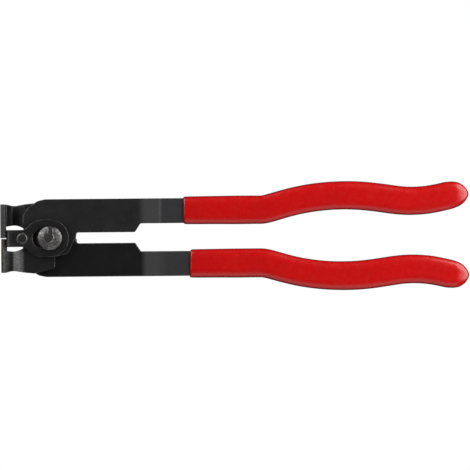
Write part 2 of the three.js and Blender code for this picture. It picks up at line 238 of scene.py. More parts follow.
# Tail of the rivet, with its washer
TAIL_RADIUS = 4.0
TAIL_FLARE = 0.6
WASHER_HOLE_RADIUS = TAIL_RADIUS + 0.15
WASHER_PLAY = 0.1

# Ends of the pin
PIN_CHAMFER = 0.38
PIN_CROWN = 0.12
PIN_SHOULDER_DROP = 0.13

# Faces of a turned piece that meet more sharply than this keep a crisp edge
CRISP_ANGLE = math.radians(50)

# Grips
GRIP_PLACES = [69, 78, 98, 112, 124, 150, 165, 176, 192, 206]
GRIP_HALVES = [7.3, 7.42, 7.57, 7.52, 7.44, 7.5, 7.57, 7.6, 7.47, 7.4]
GRIP_ROUND = 4.6
GRIP_PITCH = 2.5
CORNER_RISE_SHARE = 0.96
CORNER_RUN_LIMIT = 0.9
BORE_CLEARANCE = 0.04
SWELL_SHARE = 0.008
SWELL_SIZE = 14.0
LIP_ROUND = 1.1
LIP_RINGS = 6
LIP_FADE = 12.0
NOSE_SLOPE_RUN = 7.0
NOSE_SLOPE_DROP = 0.65
NOSE_LIFT = 0.35
NOSE_RINGS = 18

# Rows from the bore out to the lip: how far in they lie, and their share of the way to its round
LIP_ROWS = [(0.55, 0), (0.5, 0.084), (0.12, 0.42)]

# Where the coat's colour turns to a painted shade down its sides, as they face away from the light: how
# upright its normal still is there, how soon that fades, and how much further up the shade reaches round
# the rim of the nose
SIDE_START = 0.75
SIDE_FADE = 0.3
NOSE_RIM_RISE = 0.15
NOSE_RIM_RUN = 2.5

# How wide the nose is, at distances from its tip
NOSE_RUNS = [0, 0.25, 0.5, 1.0, 1.5, 2.05, 2.55, 3.1, 4.15, 5.2, 6.2, 8.0, 11.0]
NOSE_SHARES = [0, 0.165, 0.235, 0.345, 0.46, 0.545, 0.62, 0.68, 0.78, 0.855, 0.905, 0.957, 1]


# Outlines

def smooth(share):
    """Eased step from zero to one."""
    share = np.clip(share, 0, 1)
    return share * share * (3 - 2 * share)


def unit(rows):
    """Each row scaled to length one."""
    rows = np.asarray(rows, float)
    return rows / np.linalg.norm(rows, axis=-1, keepdims=True)


def arc(centre, radius, start, end, chord=0.35):
    """Points on an arc from one angle to another, ends included."""
    steps = max(2, math.ceil(abs(end - start) * radius / chord))
    angles = np.linspace(start, end, steps + 1)
    return np.c_[centre[0] + radius * np.cos(angles), centre[1] + radius * np.sin(angles)]


def fillet_outline(corners):
    """Points round a closed outline whose corners are x, y and a fillet radius.

    Two fillets that would meet on a side share its length.
    """
    points = np.array([corner[:2] for corner in corners], float)
    radii = np.array([corner[2] for corner in corners], float)
    before = unit(np.roll(points, 1, 0) - points)
    after = unit(np.roll(points, -1, 0) - points)
    lengths = np.linalg.norm(np.roll(points, -1, 0) - points, axis=1)
    halves = np.arccos(np.clip((before * after).sum(1), -1, 1)) / 2
    wanted = radii / np.tan(halves)
    room = lengths / np.maximum(wanted + np.roll(wanted, -1), 1e-9)
    tangents = wanted * np.minimum(1, np.minimum(room, np.roll(room, 1)))
    loop = []
    for corner, first, last, half, tangent in zip(points, before, after, halves, tangents):
        if tangent == 0:
            loop.append(corner[None])
            continue
        radius = tangent * math.tan(half)
        centre = corner + unit(first + last) * radius / math.sin(half)
        spoke = corner + first * tangent - centre
        start = math.atan2(spoke[1], spoke[0])
        left_turn = first[1] * last[0] - first[0] * last[1] > 0
        sweep = (math.pi - 2 * half) * (1 if left_turn else -1)
        loop.append(arc(centre, radius, start, start + sweep))
    loop = np.vstack(loop)
    return loop[np.linalg.norm(loop - np.roll(loop, 1, 0), axis=1) > 0.01]


def inside(points, loop):
    """Which points lie inside a closed loop."""
    x, y = np.asarray(points, float).T
    x0, y0 = loop.T
    x1, y1 = np.roll(loop, -1, 0).T
    crosses = (y0 > y[:, None]) != (y1 > y[:, None])
    rise = np.where(y1 == y0, 1, y1 - y0)
    at = x0 + (y[:, None] - y0) * (x1 - x0) / rise
    return (crosses & (x[:, None] < at)).sum(1) % 2 == 1


def distance_to(points, loops):
    """How far each point lies from the nearest of the loops."""
    nearest = np.full(len(points), np.inf)
    for loop in loops:
        along = np.roll(loop, -1, 0) - loop
        away = points[:, None] - loop
        share = np.clip((away * along).sum(2) / np.maximum((along * along).sum(1), 1e-9), 0, 1)
        gap = np.linalg.norm(away - share[..., None] * along, axis=2).min(1)
        nearest = np.minimum(nearest, gap)
    return nearest


def wave_points(steps=26):
    """Centre line of the wavy part of a handle, and its unit normals towards the outside."""
    points, tangents = [], []
    for index, (leave, arrive) in enumerate(WAVE_PULLS):
        x0, x1 = WAVE_X[index:index + 2]
        y0, y1 = (HANDLE_Y + rise for rise in WAVE_RISE[index:index + 2])
        run = x1 - x0
        pulls = np.array([[x0, y0], [x0 + run * leave, y0], [x1 - run * arrive, y1], [x1, y1]])
        t = np.linspace(0, 1, steps + 1)[0 if index == 0 else 1:, None]
        s = 1 - t
        weights = (s**3, 3 * s * s * t, 3 * s * t * t, t**3)
        points.append(sum(weight * pull for weight, pull in zip(weights, pulls)))
        legs = np.diff(pulls, axis=0)
        tangents.append(unit(s * s * legs[0] + 2 * s * t * legs[1] + t * t * legs[2]))
    points, tangents = np.vstack(points), np.vstack(tangents)
    return points, np.c_[-tangents[:, 1], tangents[:, 0]]


# Stamped plates

def outward(loop):
    """At each point of a loop, the unit normal that leaves the metal, and how far a mitre stretches."""
    before = unit(loop - np.roll(loop, 1, 0))
    after = unit(np.roll(loop, -1, 0) - loop)
    mean = unit(before + after)
    stretch = 1 / np.clip((mean * after).sum(1), 0.4, 1)
    return np.c_[mean[:, 1], -mean[:, 0]], stretch


def edge_section(half, steps=6):
    """Rows round the cut edge, from back to front: inset, height, outward and upward part of the normal."""
    rows = []
    angles = [math.pi / 2 * step / steps for step in range(steps + 1)]
    for angle in angles:
        out, up = unit((math.sin(angle) * DIE_ROLL_SHARE, -math.cos(angle)))
        rise = DIE_ROLL * DIE_ROLL_SHARE * (1 - math.cos(angle))
        rows.append((DIE_ROLL * (1 - math.sin(angle)), rise - half, out, up))
    for angle in angles:
        out, up = math.cos(angle), math.sin(angle)
        rows.append((DEBURRED * (1 - out), half - DEBURRED * (1 - up), out, up))
    return rows


def face_points(loops, pitch=2.4):
    """Points spread over a face: two rows that follow its edges, then a plain grid."""
    outer = loops[0]
    low, high = outer.min(0), outer.max(0)
    grid = np.meshgrid(*(np.arange(low[axis], high[axis], pitch) for axis in (0, 1)))
    grid = np.stack(grid, -1).reshape(-1, 2)
    rows = []
    for loop in loops:
        normals, stretch = outward(loop)
        for inset in (WEAR_REACH / 2, WEAR_REACH):
            rows.append((loop - normals * (stretch * inset)[:, None])[::3])
    kept = []
    for points, clear in [(np.vstack(rows), WEAR_REACH * 0.45), (grid, WEAR_REACH * 1.5)]:
        held = inside(points, outer)
        for hole in loops[1:]:
            held &= ~inside(points, hole)
        points = points[held]
        kept.append(points[distance_to(points, loops) > clear])
    return np.vstack(kept)


def cover(bm, rings, height, up, layers):
    """Closes one face of a plate, between the rings of vertices at its edges."""
    normal_layer, wear_layer, _ = layers
    loops = [np.array([vertex.co[:2] for vertex in ring]) for ring in rings]
    added = face_points(loops)
    wear = FACE_WEAR * np.clip(1 - distance_to(added, loops) / WEAR_REACH, 0, 1) ** 2
    vertices = [vertex for ring in rings for vertex in ring]
    edges, start = [], 0
    for ring in rings:
        edges += [(start + i, start + (i + 1) % len(ring)) for i in range(len(ring))]
        start += len(ring)
    for (x, y), share in zip(added, wear):
        vertex = bm.verts.new((x, y, height))
        vertex[normal_layer] = (0, 0, up)
        vertex[wear_layer] = share
        vertices.append(vertex)
    flat = [Vector(vertex.co[:2]) for vertex in vertices]
    points, _, faces, origins = delaunay_2d_cdt(flat, edges, [], 1, 1e-5)[:4]
    centres = np.array([np.mean([points[i] for i in face], 0) for face in faces])
    held = inside(centres, loops[0])
    for hole in loops[1:]:
        held &= ~inside(centres, hole)
    for face, keep in zip(faces, held):
        if keep:
            corners = [vertices[origins[i][0]] for i in face]
            bm.faces.new(corners if up > 0 else corners[::-1])


def pressed_plate(name, loops, thickness, cuts, press, patches=(), square_end=-math.inf):
    """A plate stamped to its outline and holes, with rounded edges, and then pressed to its bent shape.

    Each patch is a side, a start and an end along the plate, how soon it fades, and how much lighter it is
    drawn: rubbed oxide, and in places a painted highlight. Before the square end the plate was cut off
    straight.
    """
    bm = bmesh.new()
    layers = (
        bm.verts.layers.float_vector.new("flat_normal"),
        bm.verts.layers.float.new("edge_wear"),
        bm.verts.layers.float.new("cut_wall"),
    )
    normal_layer, wear_layer, wall_layer = layers
    half = thickness / 2
    section = edge_section(half)
    backs, fronts = [], []
    for loop in loops:
        normals, stretch = outward(loop)
        rolls = np.where(loop[:, 0] < square_end, SQUARE_ROLL, 1)
        rings = []
        for row, (inset, height, out, up) in enumerate(section):
            ring = []
            shares = rolls if row < len(section) // 2 else np.ones(len(loop))
            for point, normal, mitre, share in zip(loop, normals, stretch, shares):
                x, y = point - normal * mitre * inset * share
                vertex = bm.verts.new((x, y, (height + half) * share - half))
                vertex[normal_layer] = (normal[0] * out, normal[1] * out, up)
                vertex[wear_layer] = FACE_WEAR + (1 - FACE_WEAR) * math.sin(2 * math.acos(min(1, abs(up))))
                vertex[wall_layer] = out**6
                ring.append(vertex)
            rings.append(ring)
        for low, high in zip(rings, rings[1:]):
            for i in range(len(low)):
                j = (i + 1) % len(low)
                bm.faces.new((low[i], low[j], high[j], high[i]))
        backs.append(rings[0])
        fronts.append(rings[-1])
    cover(bm, backs, section[0][1], -1, layers)
    cover(bm, fronts, section[-1][1], 1, layers)
    for x in cuts:
        everything = bm.verts[:] + bm.edges[:] + bm.faces[:]
        bmesh.ops.bisect_plane(bm, geom=everything, dist=1e-4, plane_co=(x, 0, 0), plane_no=(1, 0, 0))
    mesh = bpy.data.meshes.new(name)
    bm.to_mesh(mesh)
    bm.free()
    flat = np.array([vertex.co for vertex in mesh.vertices])
    normals = np.array([entry.vector for entry in mesh.attributes["flat_normal"].data])
    mesh.attributes.remove(mesh.attributes["flat_normal"])
    rubbed = np.zeros(len(flat))
    for side, start, end, fade, amount in patches:
        patch = smooth((flat[:, 0] - start) / fade) * smooth((end - flat[:, 0]) / fade)
        rubbed = np.maximum(rubbed, amount * patch * (flat[:, 2] * side > 0))
    # Lighter patches, partly rubbed oxide and partly painted highlight
    spread_value(mesh, "rubbed", rubbed)
    return finish_mesh(mesh, *press(flat, unit(normals)))


def spread_value(mesh, name, values):
    """Gives a mesh a named number at each vertex, for its material to read."""
    mesh.attributes.new(name, "FLOAT", "POINT").data.foreach_set("value", np.array(values, np.float32))


def finish_mesh(mesh, points, normals=None):
    """Places a mesh in the frame, in metres, and shades it smooth."""
    placed = (points + [0, 0, MIDDLE]) * MM
    mesh.vertices.foreach_set("co", placed.astype(np.float32).ravel())
    mesh.update()
    mesh.shade_smooth()
    if normals is not None:
        mesh.normals_split_custom_set_from_vertices([tuple(normal) for normal in normals])
    return mesh


def ramp(x, start, end, rounds, first, last):
    """Height of a ramp between two levels, with its two corners rounded by parabolas."""
    slope = (last - first) / (end - start)
    height = first + slope * np.clip(x - start, 0, end - start)
    for corner, reach, turn in [(start, rounds[0], slope), (end, rounds[1], -slope)]:
        near = np.clip(reach - np.abs(x - corner), 0, None)
        height = height + turn * near**2 / (4 * reach)
    return height


def lever_level(x):
    """Height of the lever's middle surface over the middle plane of the tool."""
    jaw = ramp(x, *JAW_STEP, JAW_STEP_ROUNDS, JAW_HALF_WIDTH - PLATE / 2, PLATE_MIDDLE)
    jaw = jaw - JAW_BOW * (np.clip(BEND_X + JAW_BOW_RUN - x, 0, JAW_BOW_RUN) / JAW_BOW_RUN) ** 2
    handle = ramp(x, *JOGGLE, JOGGLE_ROUNDS, PLATE_MIDDLE, 0)
    return np.where(x < 0, jaw, handle)


def bend_along(y, normals, place_x, place_z, angle):
    """Points of a bent sheet at given places, and its normals turned by the bend's angle there."""
    across = np.c_[np.cos(angle), np.zeros_like(angle), np.sin(angle)]
    upright = np.c_[-np.sin(angle), np.zeros_like(angle), np.cos(angle)]
    turned = normals[:, :1] * across + normals[:, 1:2] * [0, 1, 0] + normals[:, 2:] * upright
    return np.c_[place_x, y, place_z], unit(turned)


def press_lever(flat, normals):
    """Steps the jaw arm outwards, bends the tip square and joggles the handle."""
    x, y, up = flat.T
    turn = np.clip((BEND_X - x) / BEND_RADIUS, 0, math.pi / 2)
    past = np.clip(BEND_X - x - BEND_RUN, 0, None)
    level = lever_level(np.maximum(x, BEND_X))
    near = 0.02
    slope = (lever_level(x + near) - lever_level(x - near)) / (2 * near)
    slope = slope * np.cos(turn) * (past == 0)
    reach = BEND_RADIUS + up
    place_x = np.maximum(x, BEND_X) - reach * np.sin(turn)
    place_z = level - BEND_RADIUS + reach * np.cos(turn) - past
    place_z = np.where(turn > 0, place_z, level + up)
    return bend_along(y, normals, place_x, place_z, turn + np.arctan(slope))


def press_blade(flat, normals):
    """Folds the long strap twice at the nose, so that its two rings face each other."""
    x, y, up = flat.T
    run = FOLD_X - x
    turn = np.clip(run / FOLD_RADIUS, 0, math.pi / 2)
    turn = turn + np.clip((run - FOLD_RUN - WEB_RUN) / FOLD_RADIUS, 0, math.pi / 2)
    web = np.clip(run - FOLD_RUN, 0, WEB_RUN)
    back = np.clip(run - 2 * FOLD_RUN - WEB_RUN, 0, None)
    reach = FOLD_RADIUS + up
    place_x = np.maximum(x, FOLD_X) - reach * np.sin(turn) + back
    place_z = LEG_FRONT - NOSE_BEND - web + reach * np.cos(turn)
    return bend_along(y, normals, place_x, place_z, turn)


def turn_over(mesh):
    """A bare copy of a mesh, turned half round the tool's own middle line, normals too."""
    turned = mesh.copy()
    turned.materials.clear()
    points = np.array([vertex.co for vertex in mesh.vertices])
    points = np.c_[points[:, 0], -points[:, 1], 2 * MIDDLE * MM - points[:, 2]]
    normals = np.array([corner.vector for corner in mesh.corner_normals])
    turned.vertices.foreach_set("co", points.astype(np.float32).ravel())
    turned.update()
    turned.normals_split_custom_set([(x, -y, -z) for x, y, z in normals])
    return turned


def cam_notch():
    """Right and lower side of the cam slot, from its blind end out to its mouth."""
    swing = np.linspace(CAM_SWING, -CAM_LEAD_SHARE * CAM_SWING, 24)
    radius = PIN_DISTANCE - CAM_TRAVEL * swing / CAM_SWING
    path = np.c_[-radius * np.cos(swing), radius * np.sin(swing)]
    along = unit(np.gradient(path, axis=0))
    side = path + CAM_HALF * np.c_[-along[:, 1], along[:, 0]]
    end_angle = math.atan2(*(side[0] - path[0])[::-1])
    blind_end = arc(path[0], CAM_HALF, math.pi, end_angle)
    return np.vstack([blind_end, side[1:]])


def lever_loops():
    """Outline and pivot hole of the flat lever; past the bend its x runs along the steel."""
    points, normals = wave_points()
    cap = arc((0, 0), 1, -math.pi / 2, math.pi / 2, 0.12)[1:-1] * [HANDLE_CAP, HANDLE_HALF]
    inner, outer = points - HANDLE_HALF * normals, points + HANDLE_HALF * normals
    handle = np.vstack([inner, cap + points[-1], outer[::-1]])
    jaw = [
        (-MOUTH, -MOUTH_LIP, 0),
        (-MOUTH, -MOUTH_DEPTH, 0),
        (-WINDOW_CROWN, -WINDOW_DEPTH, WINDOW_RADIUS),
        (TIP_WALL, -WINDOW_END_DEPTH, RELIEF_RADIUS),
        (TIP_WALL, -HALF_TIP_GAP, TIP_CORNER),
        (TIP_END, -HALF_TIP_GAP, TIP_CORNER),
        (TIP_END, -JAW_OUTER, TIP_CORNER),
        (-JAW_FLAT_END, -JAW_OUTER, 0),
        (-NECK_PLACE, NECK_DEPTH - JAW_OUTER, NECK_RADIUS),
        (-JAW_SHOULDER[0], -JAW_OUTER - JAW_SHOULDER[1], JAW_SHOULDER[2]),
        (-JAW_HEEL, -JAW_OUTER - JAW_HEEL_DROP, JAW_HEEL_RADIUS),
        (JAW_BACK_REACH, JAW_BACK_RISE - JAW_OUTER, JAW_BACK_CORNER),
        (JAW_BACK_REACH, -BOSS_UNDER_DROP, 0),
        (BOSS_HEEL_REACH, -BOSS_HEEL_DROP, BOSS_HEEL_RADIUS),
        (BOSS_REACH, BOSS_FLAT_END, BOSS_CORNER),
        (BOSS_REACH, SLOT_HALF, BOSS_CORNER),
        (STEP_START, SLOT_HALF, STEP_ROUND),
        (STEP_START + STEP_LENGTH, HANDLE_Y - HANDLE_HALF, STEP_ROUND),
    ]
    lobe_foot = (-LOBE_REACH * LOBE_FOOT_SHARES[0], LOBE_FOOT * LOBE_FOOT_SHARES[1], 0)
    whole = fillet_outline([*LOBE_CORNERS, lobe_foot, *jaw])
    notch = cam_notch()
    notch = notch[inside(notch, whole)]
    ends = notch[[0, -1]]
    notch = notch[distance_to(notch, [ends[:1], ends[1:]]) > 2 * TIP_CORNER]
    notch = [(*ends[0], TIP_CORNER), *((x, y, 0) for x, y in notch), (*ends[1], TIP_CORNER)]
    outline = fillet_outline([*LOBE_CORNERS, *notch, *jaw, *((x, y, 0) for x, y in handle)])
    return [outline, arc((0, 0), PIVOT_HOLE_RADIUS, 2 * math.pi, 0)[:-1]]


def blade_loops():
    """Outline, slots and pin holes of the flat strap that folds into the blade."""
    half = math.pi / 2
    tangent_x = -BLADE_SLOT_RUN - RING_RADIUS * math.cos(RING_MEET)
    tangent_y = RING_RADIUS * math.sin(RING_MEET)
    fillet_x = tangent_x - (tangent_y - TAB_HALF) - TAB_FILLET * math.tan(RING_MEET / 2)
    middle = FOLD_X - FOLD_RUN - WEB_RUN / 2
    lower = np.vstack([
        arc((fillet_x, -TAB_HALF - TAB_FILLET), TAB_FILLET, half, half - RING_MEET),
        arc((-BLADE_SLOT_RUN, 0), RING_RADIUS, math.pi + RING_MEET, 3 * half),
        arc((0, 0), RING_RADIUS, -half, 0),
    ])
    front = np.vstack([lower, (lower * [1, -1])[-2::-1]])
    slot = np.vstack([
        arc((0, 0), BLADE_SLOT_RADIUS, half, -half),
        arc((-BLADE_SLOT_RUN, 0), BLADE_SLOT_RADIUS, -half, -3 * half),
    ])
    pin_hole = arc((-PIN_DISTANCE, 0), PIN_HOLE_RADIUS, 2 * math.pi, 0)[:-1]

    def folded_over(loop):
        return (loop * [-1, 1] + [2 * middle, 0])[::-1]

    outline = np.vstack([front, folded_over(front)])
    return [outline, slot, pin_hole, folded_over(slot), folded_over(pin_hole)]


# Turned pieces

def turned_mesh(name, profile, segments=128, centre_x=0):
    """A turned piece from rows of radius, height and edge wear.

    A profile that doesn't start and end on the axis closes on itself.
    """
    angles = np.linspace(0, 2 * math.pi, segments, endpoint=False)
    vertices, wear, rings = [], [], []
    for radius, height, worn in profile:
        ring = []
        for angle in angles if radius > 0 else angles[:1]:
            ring.append(len(vertices))
            vertices.append((radius * math.cos(angle), radius * math.sin(angle), height))
            wear.append(worn)
        rings.append(ring)
    pairs = list(zip(rings, rings[1:]))
    if min(len(rings[0]), len(rings[-1])) > 1:
        pairs.append((rings[-1], rings[0]))
    faces = []
    for low, high in pairs:
        for i in range(segments):
            j = (i + 1) % segments
            corners = [low[i % len(low)], low[j % len(low)], high[j % len(high)], high[i % len(high)]]
            faces.append(list(dict.fromkeys(corners)))
    points = np.array(vertices) + [centre_x, 0, 0]
    mesh = bpy.data.meshes.new(name)
    mesh.from_pydata(points.tolist(), [], faces)
    spread_value(mesh, "edge_wear", wear)
    return finish_mesh(mesh, points)


def rounded_profile(corners, steps=4):
    """Profile rows through corners of radius, height and round, with wear on the rounds."""
    rows = []
    for index, (x, y, radius) in enumerate(corners):
        corner = np.array((x, y), float)
        if radius == 0:
            rows.append((x, y, 0))
            continue
        before = unit(np.array(corners[index - 1][:2]) - corner)
        after = unit(np.array(corners[(index + 1) % len(corners)][:2]) - corner)
        for step in range(steps + 1):
            share = step / steps
            point = corner + radius * ((1 - share) ** 2 * before + share**2 * after)
            rows.append((*point, 1 - abs(2 * share - 1) ** 2))
    return rows


def bumpy(point, size):
    """Smooth noise at a place, for bumps of that size in millimetres."""
    return noise.noise(Vector(point) / size)


def bell(x, middle, width):
    """A smooth hump, one high at its middle."""
    return math.exp(-((x - middle) / width) ** 2)


def head_relief(point):
    """How far the head's surface drops at a point, and how soiled its hollows are there.

    The blow leaned to the right: there the dimple's wall is gentler, and its burr and groove are highest.
    """
    x, y, z = point
    if z < LEG_FRONT + HEAD_LIFT + RIM_HEIGHT * 0.5:
        return 0, 0
    radius = math.hypot(x, y)
    away_x, away_y = x - DIMPLE_PLACE[0], y - DIMPLE_PLACE[1]
    beyond = math.hypot(away_x, away_y) - DIMPLE_RADIUS
    rightness = (1 + math.cos(math.atan2(away_y, away_x) - DIMPLE_LEAN)) / 2
    dimple = smooth(1 - beyond / (DIMPLE_SLOPES[0] + DIMPLE_SLOPES[1] * rightness))
    left, right = NOTCH_SIDES
    along = smooth((y - DIMPLE_RADIUS) / NOTCH_END_FADE + 1)
    notch = along * smooth((x - left) / NOTCH_FADES[0] + 1) * smooth((right - x) / NOTCH_FADES[1] + 1)
    lip = NOTCH_BURR_SHARE * (along * bell(x - right, *NOTCH_BURR))
    burr = max(rightness**3 * bell(beyond, *DIMPLE_BURR), lip)
    groove = max(rightness**3 * bell(beyond, *DIMPLE_GROOVE), along * bell(x - right, *NOTCH_GROOVE))
    chip = smooth((radius - CHIP_RADIUS) / CHIP_FADE) * smooth(x / CHIP_FADE + 1)
    chip = chip * smooth((CHIP_END - x) / CHIP_FADE) * (y > 0)
    peened = sum(depth * bumpy((x, y, seed), size) for depth, seed, size in PEEN_MARKS)
    drop = max(DIMPLE_DEPTH * dimple, NOTCH_DEPTH * max(notch, chip), GROOVE * groove)
    drop -= BURR * burr * (1 - max(dimple, notch)) + peened * smooth((HEAD_RADIUS - radius) / PEEN_FADE)
    return drop, max(DIMPLE_SOIL * dimple, notch, CHIP_SOIL * chip, GROOVE_SOIL * groove)


def rivet_mesh(name):
    """The rivet, with the dimple and the staked notch struck into its peened head."""
    mesh = turned_mesh(name, rivet_profile(), 192)
    points = np.array([vertex.co for vertex in mesh.vertices]) / MM - [0, 0, MIDDLE]
    relief = np.array([head_relief(point) for point in points])
    points[:, 2] -= relief[:, 0]
    spread_value(mesh, "hollow", relief[:, 1])
    return finish_mesh(mesh, points)


def rivet_profile():
    """Rows of the rivet, from the middle of its flat tail up to the floor of the dimple."""
    tail_z = RIVET_LOW[2] - MIDDLE
    washer_z = WASHER_HIGH[2] - MIDDLE
    head_z = LEG_FRONT + HEAD_LIFT
    rim_z = head_z + RIM_HEIGHT
    body = rounded_profile([
        (TAIL_RADIUS + TAIL_FLARE, tail_z, 0.25),
        (TAIL_RADIUS, tail_z + TAIL_FLARE, 0.1),
        (TAIL_RADIUS, washer_z + WASHER_PLAY, 0),
        (SHANK_RADIUS, washer_z + WASHER_PLAY, 0.15),
        (SHANK_RADIUS, head_z, 0.05),
        (HEAD_RADIUS, head_z, 0.2),
        (HEAD_RADIUS, rim_z, 0),
    ])
    rows = [(0, tail_z, 0), (TAIL_RADIUS * 0.5, tail_z, 0), *body[:-1]]
    # Close rows near the rim, where the crown turns down, and even ones to the middle
    radii = HEAD_RADIUS * np.r_[np.cos(np.linspace(0, 0.5, 8)), np.linspace(0.85, 0, 40)]
    for radius in radii:
        rise = CROWN_HEIGHT * (1 - (radius / HEAD_RADIUS) ** 2) ** CROWN_SHAPE
        rows.append((radius, rim_z + rise, max(0, 1 - (HEAD_RADIUS - radius) * 3)))
    return rows


def pin_profile():
    """Rows of the pin: a barrel with a bright chamfer and a low dome at each end."""
    half = PIN_HIGH[2] - MIDDLE
    shoulder = half - PIN_SHOULDER_DROP
    end = [(radius, half - PIN_CROWN * (radius / PIN_RADIUS) ** 2, 0) for radius in (0, 0.8, 1.5, 2.0)]
    end.append((PIN_RADIUS - PIN_CHAMFER, shoulder, 1.5))
    end.append((PIN_RADIUS - PIN_CHAMFER / 3, shoulder - PIN_CHAMFER * 0.35, 3))
    end.append((PIN_RADIUS, shoulder - PIN_CHAMFER, 2))
    return [(radius, -height, wear) for radius, height, wear in end] + [(PIN_RADIUS, 0, 0)] + end[::-1]


def washer_profile():
    """Rows of the tail washer, countersunk for the peened tail."""
    low, high = WASHER_LOW[2] - MIDDLE, WASHER_HIGH[2] - MIDDLE
    return rounded_profile([
        (WASHER_HOLE_RADIUS + TAIL_FLARE, low, 0.1),
        (WASHER_RADIUS, low, 0.25),
        (WASHER_RADIUS, high, 0.15),
        (WASHER_HOLE_RADIUS, high, 0.1),
        (WASHER_HOLE_RADIUS, low + TAIL_FLARE, 0.1),
    ])


# Grips

def coat_section(outer, inner, half_thickness, shrink=1.0, corner_steps=8, face_steps=8):
    """One ring of a coat's section: across the handle and along Z, from the middle of the outer side."""
    run = min(GRIP_ROUND * shrink, outer * CORNER_RUN_LIMIT, inner * CORNER_RUN_LIMIT)
    rise = half_thickness * CORNER_RISE_SHARE
    ring = []
    corners = [(outer, 1, 1), (inner, -1, 1), (inner, -1, -1), (outer, 1, -1)]
    for index, (half, side, face) in enumerate(corners):
        for step in range(corner_steps + 1):
            angle = math.pi / 2 * (index + step / corner_steps)
            across = side * (half - run) + run * math.cos(angle)
            height = face * (half_thickness - rise) + rise * math.sin(angle)
            ring.append((across, height))
        if index in (0, 2):
            start, end = ring[-1], -face * (corners[index + 1][0] - run)
            for step in range(1, face_steps):
                ring.append((start[0] + (end - start[0]) * step / face_steps, start[1]))
    return np.array(ring)


def bore_section():
    """The section of the hole that the handle fills, with as many points as a coat's section."""
    halves = np.array([HANDLE_HALF, PLATE / 2])
    handle = coat_section(HANDLE_HALF, HANDLE_HALF, PLATE / 2, 0)
    return handle * ((halves + BORE_CLEARANCE) / halves)


def grip_mesh(name, start, extra, shift, lean, bow, seed):
    """A dipped sleeve: rolled lip, coat of uneven thickness, and a nose where the dip ran off.

    It is wider than the plan by extra on both sides, and moved outwards by shift. The lip leans and
    bows, as the level of the dip did.
    """
    wave, wave_normals = wave_points()
    straight = np.arange(start + LIP_ROUND, WAVE_X[0] - 1, GRIP_PITCH)
    centre = np.vstack([np.c_[straight, np.full(len(straight), HANDLE_Y)], wave])
    normals = np.vstack([np.tile([0.0, 1.0], (len(straight), 1)), wave_normals])
    nose = GRIP_TIP - WAVE_X[-1]
    nose_x = WAVE_X[-1] + nose * np.sin(np.linspace(0, math.pi / 2, NOSE_RINGS))[1:-1]
    nose_y = HANDLE_Y + WAVE_RISE[-1] + NOSE_LIFT * (nose_x - WAVE_X[-1]) / nose
    centre = np.vstack([centre, np.c_[nose_x, nose_y]])
    normals = np.vstack([normals, np.tile([0.0, 1.0], (len(nose_x), 1))])

    def ring(place, normal, section):
        points = []
        for across, height in section:
            swell = 1 + SWELL_SHARE * bumpy((place[0], across, height + seed), SWELL_SIZE)
            points.append((*(place + normal * across * swell), height * swell))
        return points

    def sizes(x):
        half = np.interp(x, GRIP_PLACES, GRIP_HALVES) + extra
        return half + shift, half - shift

    rings = []
    bore = bore_section()
    for place, normal in zip(centre[::-1], normals[::-1]):
        if place[0] < WAVE_X[-1] - 1:
            rings.append([(*(place + normal * across), height) for across, height in bore])
    outer, inner = sizes(start)
    full = coat_section(outer - LIP_ROUND, inner - LIP_ROUND, GRIP_HALF_THICKNESS - LIP_ROUND)
    for along, share in LIP_ROWS:
        section = bore + (full - bore) * share
        rings.append([(start + along, HANDLE_Y + across, height) for across, height in section])
    for step in range(LIP_RINGS, 0, -1):
        angle = math.pi / 2 * step / LIP_RINGS
        inset = LIP_ROUND * (1 - math.cos(angle))
        section = coat_section(outer - inset, inner - inset, GRIP_HALF_THICKNESS - inset)
        place = np.array([start + LIP_ROUND * (1 - math.sin(angle)), HANDLE_Y])
        rings.append(ring(place, normals[0], section))
    for place, normal in zip(centre, normals):
        close = np.interp(GRIP_TIP - place[0], NOSE_RUNS, NOSE_SHARES)
        near = max(0, 1 - (GRIP_TIP - place[0]) / NOSE_SLOPE_RUN)
        # The nose slopes down slowly, and then closes all at once at its tip
        thin = 1 - NOSE_SLOPE_DROP * near**1.5 - (1 - NOSE_SLOPE_DROP) * near**14
        outer, inner = sizes(place[0])
        corner_share = min(1, close + 0.1)
        section = coat_section(outer * close, inner * close, GRIP_HALF_THICKNESS * thin, corner_share)
        rings.append(ring(place, normal, section))
    count = len(bore)
    faces = []
    for row in range(len(rings) - 1):
        for i in range(count):
            j = (i + 1) % count
            faces.append([row * count + i, row * count + j, (row + 1) * count + j, (row + 1) * count + i])
    points = np.array([point for row in rings for point in row])
    across = points[:, 1] - HANDLE_Y
    points[:, 0] += (lean * across + bow * across**2) * np.clip(1 - (points[:, 0] - start) / LIP_FADE, 0, 1)
    tip_point = [GRIP_TIP, HANDLE_Y + WAVE_RISE[-1] + NOSE_LIFT, 0]
    points = np.vstack([points, points[:count].mean(0), tip_point])
    bore_end, tip = len(points) - 2, len(points) - 1
    last = (len(rings) - 1) * count
    for i in range(count):
        j = (i + 1) % count
        faces.append([j, i, bore_end])
        faces.append([last + i, last + j, tip])
    mesh = bpy.data.meshes.new(name)
    mesh.from_pydata(points.tolist(), [], faces)
    finish_mesh(mesh, points)
    # Painted shade: the coat is drawn darker where its normal turns away from upright
    upright = np.array([abs(entry.vector[2]) for entry in mesh.vertex_normals])
    rim = NOSE_RIM_RISE * smooth(1 - (GRIP_TIP - points[:, 0]) / NOSE_RIM_RUN)
    side = smooth((SIDE_START + rim - upright) / SIDE_FADE)
    spread_value(mesh, "side_wall", side)
    return mesh


# Materials

def linear(hex_colour):
    """An sRGB hex colour as linear red, green, blue and alpha."""
    channels = [int(hex_colour[i:i + 2], 16) / 255 for i in (1, 3, 5)]
    return [*(c / 12.92 if c <= 0.04045 else ((c + 0.055) / 1.055) ** 2.4 for c in channels), 1]


def per_mm(size):
    """Noise scale that gives features of a real size in millimetres."""
    return 1 / (size * MM)


